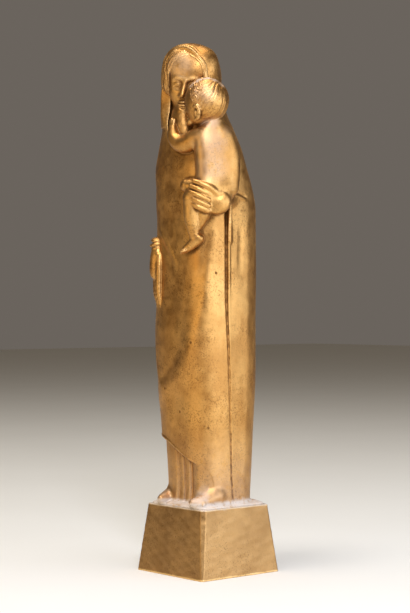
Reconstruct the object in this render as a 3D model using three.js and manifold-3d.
// Cast brass Madonna holding the child on her left arm, on a tapered square plinth.
// Millimetres, +Z up. The origin is the middle of the plinth's underside.
// The Madonna faces -Y and her left side, where the child sits, is +X.
// An angle on the robe is 0 at the front, 90 at her left, 180 behind and -90 at her right.

import * as THREE from 'three';
import { mergeVertices } from 'three/addons/utils/BufferGeometryUtils.js';
import Module from 'manifold-3d';

const wasm = await Module();
wasm.setup();

// Plinth
const PLINTH_BASE = 80;
const PLINTH_TOP = 67.7;
const PLINTH_HEIGHT = 53.5;
const PLINTH_CORNER_CHAMFER = 0.8;
const PLINTH_NEAR_CHAMFER = 3.2;

// Ground under the figure's feet
const GROUND_EDGE_INSET = 0.7;
const GROUND_RISE = 3.8;
const GROUND_TOP = PLINTH_HEIGHT + GROUND_RISE;

// Robe sections: height, half width, half depth, centre in Y, squareness of the superellipse
const ROBE_SECTIONS = [
  [53, 31.2, 28.8, -0.4, 3.1],
  [104, 33.4, 30.6, -0.4, 3.1],
  [142, 35.8, 32.8, -1.2, 3.0],
  [175, 37.0, 33.8, -2.0, 3.0],
  [200, 37.2, 34.0, -2.4, 3.0],
  [287, 37.0, 34.0, -2.4, 3.0],
  [303, 37.0, 32.0, -4.0, 2.9],
  [319, 36.0, 30.0, -7.0, 2.8],
  [335, 33.6, 27.2, -8.2, 2.6],
  [351, 27.8, 25.4, -10.6, 2.4],
  [362, 24.4, 25.6, -14.2, 2.2],
  [376, 22.8, 26.0, -17.0, 2.1],
  [386, 21.8, 24.6, -17.0, 2.1],
];
const VEIL_DOME_START = 386;
const VEIL_TOP = 417.6;
const VEIL_DOME_POWER = 2.5;
const TUNIC_TOP = 118;
const TUNIC_INSET = 3.1;

// Angle lines on the robe, as pairs of height and angle in degrees
const DIAGONAL_FOLD = [
  [118, -64], [132, -50], [142, -34], [150, -14], [158, 4],
  [167, 17], [178, 27], [192, 36], [220, 46.5], [280, 57],
];
const GROOVE_LEFT = [[56, 87], [78, 83], [122, 78.5], [153, 76], [185, 74], [220, 71.5], [290, 71]];
const GROOVE_RIGHT = [[56, 90.8], [78, 87], [122, 82.6], [153, 80.4], [185, 78.8], [220, 77], [290, 76.8]];

// The mantle's hem, as pairs of angle and height. Below the ground it stands for no hem at all.
const HEM = [
  [-180, 0], [-140, 20], [-118, 62], [-90, 96], [-60, 107], [-29, 104.5], [-2, 97],
  [25, 89.7], [41, 85.5], [53, 80], [62, 60], [75, 20], [180, 0],
];

// Rise and depth of the folds
const DIAGONAL_RISE = 1.7;
const GROOVE_DEPTH = [[56, 0.8], [120, 1], [160, 1.1], [215, 1.7], [290, 1.7]];
const GROOVE_TOP = 292;
const MANTLE_EDGE_RISE = 0.6;
const BACK_FOLD_RISE = 0.9;
const BACK_FOLDS = [150, 176, -158, -128];
const PLEAT_GROOVES = [-88, -73, -58, -43, -9.8, 7.4, 23];
const PLEAT_DEPTH = 1.9;
const PLEAT_HALF_ANGLE = 5.2;
const ROBE_ARC_PER_DEGREE = 0.63;

// Her feet stand a little into the ground
const SOLE = PLINTH_HEIGHT + 1;
const FOOT_CENTRE_RISE = 3;

// Madonna's head: turned to her left, bowed, and inclined to the child
const HEAD_CENTRE = new THREE.Vector3(0, -18.2, 385);
const HEAD_TURN = 35;
const HEAD_BOW = 8;
const HEAD_ROLL = 8;
const FACE_CENTRE = new THREE.Vector3(0, 0.2, 4);
const FACE_HALF = new THREE.Vector3(21.3, 16.8, 27);
const HAIR_CENTRE = new THREE.Vector3(0, 0.4, 5);
const HAIR_HALF = new THREE.Vector3(22.7, 17.8, 27.2);
const HAIR_BELOW = 18;

// The veil's front edge: height above the head's centre, and how far forward it comes in the veil's frame
const VEIL_TURN = 20;
const VEIL_FRONT = [
  [-46, 28], [-38, 22], [-24, 15], [-13, 11.5], [4, 9.4], [12, 8.7], [21, 9.8], [28, 10.8], [36, 10.8],
];
const HAIR_COVERED = 1.2;

// Height above the head's centre and half width: the opening at the throat, and the face inside the hairline
const THROAT = [[-42, 1], [-40, 6.6], [-34, 10.6], [-24, 11.8], [-10, 12.4], [0, 11.4], [6, 1]];
const HAIRLINE = [[-24, 9], [-8, 13], [0, 13.8], [7, 14], [13, 13], [17, 11.5], [21, 7], [24, 1]];
const THROAT_BACK = 4;

// The veil ends on her right shoulder in a low step
const VEIL_STEP = 1.1;
const VEIL_STEP_HEIGHT = 351.4;
const VEIL_STEP_ANGLE = -47;

// A finger's radius at the knuckle, the middle joint and the tip
const FINGER_RADII = [2.8, 2.6, 2.1];

// How far the flat back of her left hand stands out from the hand's middle
const HAND_BACK_DEPTH = 4.6;

// Child's head
const CHILD_HEAD_CENTRE = new THREE.Vector3(31.2, -28.1, 368.8);
const CHILD_FACE_AZIMUTH = -57.6;
const CHILD_BACK_AZIMUTH = 72;
const CHILD_TRUNK_SQUARENESS = 2.7;
const CHILD_HEAD_HALF = new THREE.Vector3(15.8, 17, 17.4);

const COLOURS = { brass: 0x9a6a2e, plinth: 0x6e4c22 };

const rad = THREE.MathUtils.degToRad;
const { clamp, smoothstep } = THREE.MathUtils;
const V = (x, y, z) => new THREE.Vector3(x, y, z);

// Curves and profiles

function slopeAt(table, i, column) {
  if (i === 0 || i === table.length - 1) {
    return 0;
  }
  const before = table[i - 1];
  const after = table[i + 1];
  return (after[column] - before[column]) / (after[0] - before[0]);
}

function profile(table, x, column = 1) {
  const last = table.length - 1;
  if (x <= table[0][0]) {
    return table[0][column];
  }
  if (x >= table[last][0]) {
    return table[last][column];
  }
  const i = table.findIndex((row) => row[0] > x) - 1;
  const span = table[i + 1][0] - table[i][0];
  const t = (x - table[i][0]) / span;
  const a = table[i][column];
  const b = table[i + 1][column];
  const slopeA = slopeAt(table, i, column) * span;
  const slopeB = slopeAt(table, i + 1, column) * span;
  const ease = t * t * (3 - 2 * t);
  const leave = t * (1 - t) ** 2 * slopeA;
  const arrive = t * t * (t - 1) * slopeB;
  return a + (b - a) * ease + leave + arrive;
}

function wrapped(angle) {
  return ((((angle + 180) % 360) + 360) % 360) - 180;
}

function bump(distance, halfWidth) {
  const t = clamp(Math.abs(distance) / halfWidth, 0, 1);
  return (1 - t * t) ** 2;
}

// Solids from rings of points, the first ring lowest and each running anticlockwise seen from its end

function loft(rings) {
  const positions = [];
  const index = [];
  const count = rings[0].length;
  for (const ring of rings) {
    for (const p of ring) {
      positions.push(p.x, p.y, p.z);
    }
  }
  for (let i = 0; i + 1 < rings.length; i += 1) {
    for (let j = 0; j < count; j += 1) {
      const a = i * count + j;
      const b = i * count + ((j + 1) % count);
      index.push(a, b, b + count, a, b + count, a + count);
    }
  }
  for (const end of [0, rings.length - 1]) {
    const middle = positions.length / 3;
    const centre = rings[end].reduce((sum, p) => sum.add(p), V(0, 0, 0)).divideScalar(count);
    positions.push(centre.x, centre.y, centre.z);
    for (let j = 0; j < count; j += 1) {
      const a = end * count + j;
      const b = end * count + ((j + 1) % count);
      if (end === 0) {
        index.push(middle, b, a);
      } else {
        index.push(middle, a, b);
      }
    }
  }
  const geometry = new THREE.BufferGeometry();
  geometry.setAttribute('position', new THREE.Float32BufferAttribute(positions, 3));
  geometry.setIndex(index);
  return geometry;
}

function solid(geometry) {
  const bare = geometry.clone();
  bare.deleteAttribute('normal');
  bare.deleteAttribute('uv');
  const merged = mergeVertices(bare, 1e-4);
  const vertProperties = new Float32Array(merged.attributes.position.array);
  const triVerts = new Uint32Array(merged.index.array);
  return new wasm.Manifold(new wasm.Mesh({ numProp: 3, vertProperties, triVerts }));
}

function geometryOf(manifold) {
  const mesh = manifold.getMesh();
  const geometry = new THREE.BufferGeometry();
  geometry.setAttribute('position', new THREE.Float32BufferAttribute(mesh.vertProperties, 3));
  geometry.setIndex(Array.from(mesh.triVerts));
  geometry.computeVertexNormals();
  return geometry;
}

// The outer skin alone, so that a pocket closed off between overlapping masses is cast solid
function outerSkin(geometry) {
  const { index } = geometry;
  const parent = Array.from({ length: geometry.attributes.position.count }, (_, i) => i);
  const rootOf = (i) => {
    let root = i;
    while (parent[root] !== root) {
      parent[root] = parent[parent[root]];
      root = parent[root];
    }
    return root;
  };
  for (let i = 0; i < index.count; i += 3) {
    parent[rootOf(index.getX(i))] = rootOf(index.getX(i + 1));
    parent[rootOf(index.getX(i + 1))] = rootOf(index.getX(i + 2));
  }
  const skins = new Map();
  for (let i = 0; i < index.count; i += 3) {
    const root = rootOf(index.getX(i));
    if (!skins.has(root)) {
      skins.set(root, []);
    }
    skins.get(root).push(index.getX(i), index.getX(i + 1), index.getX(i + 2));
  }
  const largest = [...skins.values()].reduce((a, b) => (b.length > a.length ? b : a));
  geometry.setIndex(largest);
  return geometry.toNonIndexed();
}

function joined(solids) {
  return solids.reduce((whole, next) => whole.add(next));
}

// A limb: a round tube along joints, each [point, radius], with rounded ends
function limb(joints, sides = 8, steps = 2) {
  const points = joints.map(([point]) => point);
  const curve = new THREE.CatmullRomCurve3(points, false, 'centripetal');
  const spans = joints.length - 1;
  const count = spans * steps;
  const frames = curve.computeFrenetFrames(count, false);
  const rings = [];
  const ringAt = (centre, normal, binormal, radius) => {
    const ring = [];
    for (let j = 0; j < sides; j += 1) {
      const a = (j / sides) * Math.PI * 2;
      const side = normal.clone().multiplyScalar(Math.cos(a) * radius);
      ring.push(centre.clone().add(side).addScaledVector(binormal, Math.sin(a) * radius));
    }
    return ring;
  };
  const endCaps = [0.45, 0.85];
  for (let i = 0; i <= count; i += 1) {
    const along = (i / count) * spans;
    const k = Math.min(Math.floor(along), spans - 1);
    const radius = THREE.MathUtils.lerp(joints[k][1], joints[k + 1][1], along - k);
    const centre = curve.getPoint(i / count);
    const { normals, binormals, tangents } = frames;
    if (i === 0) {
      for (const share of endCaps) {
        const back = centre.clone().addScaledVector(tangents[i], -radius * Math.sqrt(1 - share * share));
        rings.push(ringAt(back, normals[i], binormals[i], radius * share));
      }
    }
    rings.push(ringAt(centre, normals[i], binormals[i], radius));
    if (i === count) {
      for (const share of [...endCaps].reverse()) {
        const beyond = centre.clone().addScaledVector(tangents[i], radius * Math.sqrt(1 - share * share));
        rings.push(ringAt(beyond, normals[i], binormals[i], radius * share));
      }
    }
  }
  return solid(loft(rings));
}

// A rounded mass: an ellipsoid in its own frame, with a function that may move its points
function mass(centre, half, axes, columns = 12, rows = 8, shape = null) {
  const rings = [];
  for (let i = 1; i < rows; i += 1) {
    const lift = -Math.cos((i / rows) * Math.PI);
    const spread = Math.sin((i / rows) * Math.PI);
    const ring = [];
    for (let j = 0; j < columns; j += 1) {
      const a = (j / columns) * Math.PI * 2;
      const p = V(half.x * spread * Math.cos(a), half.y * spread * Math.sin(a), half.z * lift);
      if (shape) {
        shape(p);
      }
      ring.push(p.applyMatrix4(axes).add(centre));
    }
    rings.push(ring);
  }
  return solid(loft(rings));
}

// A frame turned about Z so that its own +Y looks along an azimuth, then bowed, and rolled to its left, -X
function headFrame(azimuth, bow = 0, roll = 0) {
  const turn = new THREE.Matrix4().makeRotationZ(rad(azimuth + 180));
  const nod = new THREE.Matrix4().makeRotationX(rad(-bow));
  const lean = new THREE.Matrix4().makeRotationY(rad(-roll));
  return turn.multiply(lean).multiply(nod);
}

// The robe

function robeRadius(angle, z) {
  const [width, depth, , squareness] = [1, 2, 3, 4].map((column) => profile(ROBE_SECTIONS, z, column));
  const across = Math.abs(Math.sin(rad(angle)) / width) ** squareness;
  const along = Math.abs(Math.cos(rad(angle)) / depth) ** squareness;
  const lift = clamp((z - VEIL_DOME_START) / (VEIL_TOP - VEIL_DOME_START), 0, 1);
  const dome = (1 - lift ** VEIL_DOME_POWER) ** (1 / VEIL_DOME_POWER);
  return dome * (across + along) ** (-1 / squareness);
}

function robePoint(angle, z, offset = 0) {
  const radius = robeRadius(angle, z) + offset;
  const centreY = profile(ROBE_SECTIONS, z, 3);
  return V(radius * Math.sin(rad(angle)), centreY - radius * Math.cos(rad(angle)), z);
}

// The rise across the fold, by distance square to its line as the robe unrolls
function diagonalFold(angle, z) {
  const lean = (profile(DIAGONAL_FOLD, z + 2) - profile(DIAGONAL_FOLD, z - 2)) * ROBE_ARC_PER_DEGREE / 4;
  const across = (angle - profile(DIAGONAL_FOLD, z)) * ROBE_ARC_PER_DEGREE / Math.hypot(1, lean);
  const softness = THREE.MathUtils.mapLinear(clamp(z, 150, 250), 150, 250, 7, 4);
  const fade = smoothstep(z, 112, 178) * (1 - smoothstep(z, 276, 296));
  const beside = bump(angle + 5, 100) * (1 - smoothstep(angle, 60, 70));
  return DIAGONAL_RISE * (2 * smoothstep(across, -softness, softness) - 1) * fade * beside;
}

function sideGroove(angle, z) {
  const left = profile(GROOVE_LEFT, z);
  const right = profile(GROOVE_RIGHT, z);
  const open = 1 - smoothstep(z, GROOVE_TOP - 8, GROOVE_TOP);
  const inside = smoothstep(angle, left, right - 0.8) * (1 - smoothstep(angle, right - 1, right + 0.4));
  const edge = MANTLE_EDGE_RISE * bump(angle - right - 1.6, 3);
  return (edge - profile(GROOVE_DEPTH, z) * inside) * open;
}

function veilStep(angle, z) {
  const above = smoothstep(z, VEIL_STEP_HEIGHT - 0.8, VEIL_STEP_HEIGHT + 0.8);
  return VEIL_STEP * above * (1 - smoothstep(z, 356, 374)) * bump(angle - VEIL_STEP_ANGLE, 34);
}

function drape(angle, z) {
  const skirt = 1 - smoothstep(z, 285, 320);
  const back = BACK_FOLDS.reduce((sum, fold) => sum + bump(wrapped(angle - fold), 13), 0);
  return diagonalFold(angle, z) + sideGroove(angle, z) + veilStep(angle, z) + BACK_FOLD_RISE * back * skirt;
}

// Column angles keep to the fold and the groove, so that the edges stay crisp
function mantleAngles(z) {
  const left = profile(GROOVE_LEFT, z);
  const right = profile(GROOVE_RIGHT, z);
  const edge = clamp(profile(DIAGONAL_FOLD, z), 38, 58);
  const stops = [
    [-180, 7], [-90, 4], [-56, 12], [edge - 3, 1], [edge + 3, 2], [left, 1],
    [right - 2.4, 1], [right - 0.9, 1], [right + 0.4, 1], [right + 2.4, 1], [right + 6, 3], [112, 7], [180, 0],
  ];
  const angles = [];
  for (let i = 0; i + 1 < stops.length; i += 1) {
    const [from, parts] = stops[i];
    const to = stops[i + 1][0];
    for (let k = 0; k < parts; k += 1) {
      angles.push(from + ((to - from) * k) / parts);
    }
  }
  return angles;
}

function mantle() {
  const rings = [];
  const rows = [0, 0.012, 0.08, 0.16, 0.23, 0.28, 0.33, 0.38, 0.43, 0.49, 0.56, 0.64, 0.73, 0.82, 0.91, 1];
  const neckZ = 300;
  const hemZ = (angle) => Math.max(profile(HEM, angle), PLINTH_HEIGHT + 1.5);
  for (const row of rows) {
    const level = THREE.MathUtils.lerp(80, neckZ, row);
    rings.push(mantleAngles(level).map((first, column) => {
      const angle = mantleAngles(THREE.MathUtils.lerp(hemZ(first), neckZ, row))[column];
      const z = THREE.MathUtils.lerp(hemZ(angle), neckZ, row);
      const turnedIn = row === 0 ? -0.5 : 0;
      return robePoint(angle, z, drape(angle, z) + turnedIn);
    }));
  }
  const stepZ = [VEIL_STEP_HEIGHT - 0.8, VEIL_STEP_HEIGHT + 0.8];
  for (const z of [307, 314, 321, 328, 335, 343, ...stepZ, 357, 363, 370, 378, VEIL_DOME_START]) {
    rings.push(mantleAngles(z).map((angle) => robePoint(angle, z, drape(angle, z))));
  }
  for (const lift of [0.3, 0.54, 0.73, 0.87, 0.96]) {
    const z = THREE.MathUtils.lerp(VEIL_DOME_START, VEIL_TOP, lift);
    rings.push(mantleAngles(z).map((angle) => robePoint(angle, z)));
  }
  return solid(loft(rings));
}

function tunic() {
  const angles = [];
  for (const groove of PLEAT_GROOVES) {
    angles.push(groove - PLEAT_HALF_ANGLE, groove - 1.8, groove + 1.8, groove + PLEAT_HALF_ANGLE);
  }
  angles.push(-26, 33, 38, 47, 56, 62, 68, 77, 110, 140, 170, -160, -130, -108, -98);
  angles.sort((a, b) => a - b);
  const rings = [PLINTH_HEIGHT + 1.5, 66, 80, 92, 104, TUNIC_TOP].map((z) => angles.map((angle) => {
    const nearest = Math.min(...PLEAT_GROOVES.map((groove) => Math.abs(angle - groove)));
    const groove = bump(nearest, PLEAT_HALF_ANGLE) * PLEAT_DEPTH;
    const flare = 1.2 * (1 - smoothstep(z, 55, 72));
    const panel = smoothstep(angle, 25, 38) * (1 - smoothstep(angle, 68, 76)) * (TUNIC_INSET - 0.3);
    return robePoint(angle, z, flare + panel - TUNIC_INSET - groove);
  }));
  return solid(loft(rings));
}

// Low ground cast with the figure: square at the plinth's edge, robe-shaped at the top
function ground() {
  const half = PLINTH_TOP / 2 - GROUND_EDGE_INSET;
  const steps = 32;
  const levels = [[0, 0], [0.12, 0], [0.5, 0.42], [0.8, 0.72], [1, 1]];
  const rings = levels.map(([rise, inward]) => {
    const ring = [];
    for (let j = 0; j < steps; j += 1) {
      const angle = (j / steps) * 360 - 180 + 45;
      const sine = Math.sin(rad(angle));
      const cosine = Math.cos(rad(angle));
      const reach = half / Math.max(Math.abs(sine), Math.abs(cosine));
      const corner = Math.min(reach, half * Math.SQRT2 - 3);
      const figure = Math.min(robeRadius(angle, GROUND_TOP) - 1, corner);
      const radius = THREE.MathUtils.lerp(corner, figure, inward);
      ring.push(V(radius * sine, -radius * cosine, PLINTH_HEIGHT + GROUND_RISE * rise));
    }
    return ring;
  });
  return solid(loft(rings));
}

// The heads

// Turns a point of an ellipsoid into a form that is square in front view and round in plan and in profile
function squared(p, half) {
  const across = Math.abs(p.x) / half.x;
  const up = Math.abs(p.z) / half.z;
  const spread = Math.hypot(across, up) / (Math.cbrt(across ** 3 + up ** 3) + 1e-6);
  p.x *= spread;
  p.z *= spread;
}

function headPlace(point) {
  return point.clone().applyMatrix4(headFrame(HEAD_TURN, HEAD_BOW, HEAD_ROLL)).add(HEAD_CENTRE);
}

function madonnaHead() {
  const axes = headFrame(HEAD_TURN, HEAD_BOW, HEAD_ROLL);
  const face = (p) => {
    squared(p, FACE_HALF);
    const z = p.z + FACE_CENTRE.z;
    p.x *= 1 - 0.26 * smoothstep(-z, -10, 4) - 0.26 * smoothstep(-z, 4, 23);
    if (p.y > 0) {
      const socket = bump(Math.abs(p.x) - 6.2, 5) * bump(z, 4.5);
      const nose = bump(p.x, 3.2) * smoothstep(z, -10.5, -8.5) * (1 - smoothstep(z, -7, 5));
      const lips = bump(p.x, 6) * bump(z + 14.2, 3);
      const chin = bump(p.x, 7) * bump(z + 20.5, 4.5);
      const jaw = bump(p.x, 14) * smoothstep(-z, 4, 16);
      p.y += 4.4 * nose - 1.9 * socket + 1.1 * lips + 1.6 * chin + 4 * jaw;
    }
  };
  const head = mass(headPlace(FACE_CENTRE), FACE_HALF, axes, 22, 20, face);
  const egg = (p) => {
    squared(p, HAIR_HALF);
    p.z *= p.z < 0 ? HAIR_BELOW / HAIR_HALF.z : 1;
  };
  const crown = mass(headPlace(HAIR_CENTRE), HAIR_HALF, axes, 24, 15, egg);
  const hair = crown.subtract(headPrism(HAIRLINE, 0)).intersect(veilCut(HAIR_COVERED));
  const neck = limb([
    [headPlace(V(0, -4, -12)), 10.4],
    [V(0.4, -25, 356), 10.6],
    [V(1.4, -22, 338), 13.4],
  ], 10, 1);
  return joined([head, hair, neck]);
}

// Heights between the ends of a table, closer together towards both ends
function heightsOf(table, steps) {
  const low = table[0][0];
  const high = table[table.length - 1][0];
  return Array.from({ length: steps + 1 }, (_, i) => {
    const share = (1 - Math.cos((i * Math.PI) / steps)) / 2;
    return THREE.MathUtils.lerp(low, high, share);
  });
}

// A prism along the head's own forward axis, whose outline has a half width at each height
function headPrism(halfWidths, back) {
  const shape = new THREE.Shape();
  const far = 70;
  const heights = heightsOf(halfWidths, 14);
  const right = heights.map((z) => new THREE.Vector2(profile(halfWidths, z), z));
  const left = heights.map((z) => new THREE.Vector2(-profile(halfWidths, z), z)).reverse();
  shape.setFromPoints([...right, ...left]);
  const geometry = new THREE.ExtrudeGeometry(shape, { depth: far, bevelEnabled: false });
  geometry.rotateX(Math.PI / 2);
  geometry.translate(0, far + back, 0);
  geometry.applyMatrix4(headFrame(HEAD_TURN, HEAD_BOW, HEAD_ROLL));
  geometry.translate(HEAD_CENTRE.x, HEAD_CENTRE.y, HEAD_CENTRE.z);
  return solid(geometry);
}

// All that lies before the veil's front edge, or a little behind it
function veilCut(behind) {
  const shape = new THREE.Shape();
  const far = 70;
  const wide = 50;
  const edge = heightsOf(VEIL_FRONT, 16).map((z) => new THREE.Vector2(profile(VEIL_FRONT, z) - behind, z));
  const low = VEIL_FRONT[0][0];
  const high = VEIL_FRONT[VEIL_FRONT.length - 1][0];
  shape.setFromPoints([...edge.reverse(), new THREE.Vector2(far, low), new THREE.Vector2(far, high)]);
  const geometry = new THREE.ExtrudeGeometry(shape, { depth: 2 * wide, bevelEnabled: false });
  geometry.translate(0, 0, -wide);
  geometry.applyMatrix4(new THREE.Matrix4().makeBasis(V(0, 1, 0), V(0, 0, 1), V(1, 0, 0)));
  geometry.applyMatrix4(headFrame(VEIL_TURN, HEAD_BOW, HEAD_ROLL));
  geometry.translate(HEAD_CENTRE.x, HEAD_CENTRE.y, HEAD_CENTRE.z);
  return solid(geometry);
}

function childHead() {
  const axes = headFrame(CHILD_FACE_AZIMUTH, -6, 0);
  const curls = (p) => {
    const crown = smoothstep(p.z, -4, 4);
    const waves = Math.cos(p.x * 0.9 + p.y * 0.5) * Math.cos(p.z * 0.9 - p.y * 0.6);
    p.multiplyScalar(1 + 0.022 * crown * waves);
    if (p.y > 0) {
      const nose = bump(p.x, 3.4) * bump(p.z + 5.5, 4);
      const socket = bump(Math.abs(p.x) - 5.2, 4) * bump(p.z + 1.5, 4);
      p.y += 2.4 * nose - 1.2 * socket;
    }
  };
  const head = mass(CHILD_HEAD_CENTRE, CHILD_HEAD_HALF, axes, 20, 13, curls);
  const ears = [-1, 1].map((side) => {
    const place = V(side * 13.6, -0.5, -8.6).applyMatrix4(axes).add(CHILD_HEAD_CENTRE);
    return mass(place, V(2, 2.8, 4), axes, 8, 6);
  });
  return joined([head, ...ears]);
}

// The child's body, which leans on the robe with its back outwards
function childBody() {
  const outward = headFrame(CHILD_BACK_AZIMUTH);
  const torso = [
    [V(34.6, -26.0, 287), 9.6, 7],
    [V(34.6, -26.0, 290), 12, 9],
    [V(35.0, -24.6, 299), 14, 10.2],
    [V(34.8, -24.2, 310), 13.6, 9.2],
    [V(34.8, -24.4, 322), 13.8, 9.2],
    [V(34.5, -24.6, 334), 14.4, 9.4],
    [V(34.0, -24.6, 344), 13.8, 8.6],
    [V(34.2, -24.0, 352), 7.6, 7.2],
  ];
  const bend = (value) => Math.sign(value) * Math.abs(value) ** (2 / CHILD_TRUNK_SQUARENESS);
  const rings = torso.map(([centre, width, depth]) => {
    const ring = [];
    for (let j = 0; j < 20; j += 1) {
      const a = (j / 20) * Math.PI * 2;
      const p = V(width * bend(Math.cos(a)), depth * bend(Math.sin(a)), 0);
      ring.push(p.applyMatrix4(outward).add(centre));
    }
    return ring;
  });
  const neck = limb([[V(33.6, -25.2, 348), 7.6], [V(31.6, -27.8, 358), 8]], 8);
  const leftArm = limb([
    [V(27.3, -32.6, 341), 7.2],
    [V(17.6, -35.2, 336.4), 6.9],
    [V(10.6, -36.8, 336.4), 6.3],
    [V(4.8, -38.2, 341), 5.2],
    [V(2.8, -38.4, 347.4), 3.8],
    [V(2.4, -38.4, 352.8), 2.8],
  ], 8, 1);
  const rightArm = limb([
    [V(39, -15.6, 342), 6.4],
    [V(41, -11.8, 330), 6.2],
    [V(41.6, -10.8, 316), 6],
    [V(41.2, -11, 301), 5.4],
  ], 8, 1);
  const leftThigh = limb([[V(33, -30.5, 297), 8.6], [V(25.8, -38.4, 294), 6.6]], 10, 1);
  const leftCalf = limb([
    [V(25.8, -38, 293), 6.4],
    [V(24.6, -37.4, 280), 6],
    [V(25, -35.4, 266), 4.4],
  ], 10, 1);
  const leftFoot = limb([
    [V(27.4, -32.6, 262.5), 4.2],
    [V(22.8, -37, 257.2), 3.8],
    [V(19.4, -40, 253.6), 2.8],
    [V(17.6, -41.8, 251.9), 1.6],
  ], 8, 1);
  const rightThigh = limb([[V(30, -31, 301), 8], [V(18.4, -37, 303.8), 5.3]], 9, 1);
  const rightCalf = limb([[V(28, -32.4, 292), 6], [V(30, -31, 282), 5.6]], 8, 1);
  const rightFoot = limb([
    [V(30.4, -31, 281), 5.2],
    [V(28.6, -31.6, 276), 4.2],
    [V(27, -32, 271.4), 2.6],
  ], 7, 1);
  const arms = [leftArm, rightArm];
  const legs = [leftThigh, leftCalf, leftFoot, rightThigh, rightCalf, rightFoot];
  return joined([solid(loft(rings)), neck, ...arms, ...legs]);
}

// Her left forearm lies under the mantle, whose edge falls from the wrist
function leftSleeve() {
  const arm = limb([[V(27, 6, 299), 6], [V(31.5, -4, 295.5), 8], [V(35.6, -15, 290.8), 8]], 10, 1);
  const edge = limb([
    [V(42.2, -20.8, 298), 1.6],
    [V(42.6, -17.4, 294.8), 2],
    [V(40.4, -13.6, 290), 2.2],
    [V(37.6, -11, 282), 2.4],
    [V(35.6, -9.6, 270), 2],
  ], 6, 1);
  return arm.add(edge);
}

// Her left hand holds the child's thigh. Each finger is [knuckle, middle, tip].
function leftHand() {
  const wrist = limb([[V(37.6, -16, 291), 7.6], [V(38.6, -21.6, 290), 6.4]], 8, 1);
  const flat = (p) => p.setY(Math.min(p.y, HAND_BACK_DEPTH));
  const back = mass(V(41, -26, 289.4), V(9.4, 8.2, 9), headFrame(56), 14, 10, flat);
  const fingers = [
    [V(39.2, -33.0, 296.0), V(34.6, -39.0, 299.8), V(28.8, -41.6, 302.4)],
    [V(39.4, -33.2, 291.5), V(34.4, -39.6, 295.2), V(28.4, -42.2, 297.8)],
    [V(39.0, -33.2, 287.2), V(34.2, -39.4, 290.7), V(28.6, -41.8, 293.2)],
    [V(38.0, -32.8, 283.2), V(33.8, -38.6, 286.5), V(29.4, -40.8, 288.9)],
  ].map((points) => limb(points.map((point, i) => [point, FINGER_RADII[i]]), 7));
  const thumb = limb([
    [V(41.8, -26.6, 296.4), 3.2],
    [V(40.4, -32.2, 300.6), 2.9],
    [V(35.6, -37.8, 304.4), 2.4],
    [V(31, -40.6, 306), 2.1],
  ], 7, 1);
  return joined([leftSleeve(), wrist, back, ...fingers, thumb]);
}

// Her right hand hangs at her side below a ruched cuff
function rightHand() {
  const cuff = mass(V(-24.8, -31.2, 258.5), V(6, 6.2, 7.6), headFrame(180), 12, 8);
  const palm = limb([
    [V(-24, -31.6, 254), 5.2],
    [V(-24.4, -32.2, 244), 5.4],
    [V(-24.8, -32.2, 236), 5],
  ], 10, 1);
  const fingers = [213, 208, 207, 211].map((tip, i) => {
    const knuckle = V(-29.6 + i * 3.4, -28.8 - i * 1.8, 238);
    const middle = V(knuckle.x + 0.4, knuckle.y - 0.5, 222);
    const end = V(knuckle.x + 1.4, knuckle.y + 0.9, tip);
    return limb([[knuckle, 2.9], [middle, 2.6], [end, 1.9]], 7);
  });
  const thumb = limb([
    [V(-20, -33.2, 250), 3],
    [V(-18.6, -34.8, 240), 2.6],
    [V(-19, -34.6, 232), 2.1],
  ], 7);
  return joined([cuff, palm, ...fingers, thumb]);
}

function feet() {
  const level = headFrame(180);
  return [[24.6, 7], [-19.4, -6]].flatMap(([x, turn]) => {
    const middle = V(x, -23, SOLE + FOOT_CENTRE_RISE);
    const bigToe = V(x - Math.sign(x) * 2.6, -31, SOLE + FOOT_CENTRE_RISE);
    const flatSole = (p) => p.setZ(Math.max(p.z, -FOOT_CENTRE_RISE));
    const foot = mass(middle, V(6.8, 10.6, 7), headFrame(turn), 12, 8, flatSole);
    const toe = mass(bigToe, V(2.8, 3.4, 3.6), level, 8, 6, flatSole);
    return [foot, toe];
  });
}

function figure() {
  const robe = joined([mantle(), tunic()]).subtract(veilCut(0)).subtract(headPrism(THROAT, THROAT_BACK));
  const people = [madonnaHead(), childHead(), childBody(), leftHand(), rightHand()];
  return outerSkin(geometryOf(joined([robe, ...people, ...feet(), ground()])));
}

// A square frustum whose near corner, at her front left, has a broader chamfer than the others
function plinth() {
  const outline = (side) => {
    const half = side / 2;
    const corners = [[-1, -1], [1, -1], [1, 1], [-1, 1]];
    return corners.flatMap(([x, y], i) => {
      const cut = i === 1 ? PLINTH_NEAR_CHAMFER : PLINTH_CORNER_CHAMFER;
      const first = x * y > 0 ? V(x * half, y * (half - cut), 0) : V(x * (half - cut), y * half, 0);
      const second = x * y > 0 ? V(x * (half - cut), y * half, 0) : V(x * half, y * (half - cut), 0);
      return [first, second];
    });
  };
  const base = outline(PLINTH_BASE);
  const top = outline(PLINTH_TOP).map((p) => p.setZ(PLINTH_HEIGHT));
  return loft([base, top]);
}

function named(name, geometry, colour) {
  geometry.computeVertexNormals();
  const material = new THREE.MeshStandardMaterial({ color: colour, metalness: 1, roughness: 0.42 });
  const mesh = new THREE.Mesh(geometry, material);
  mesh.name = name;
  return mesh;
}

const statue = new THREE.Group();
statue.add(named('plinth', plinth(), COLOURS.plinth));
statue.add(named('madonna_and_child', figure(), COLOURS.brass));

export default statue;
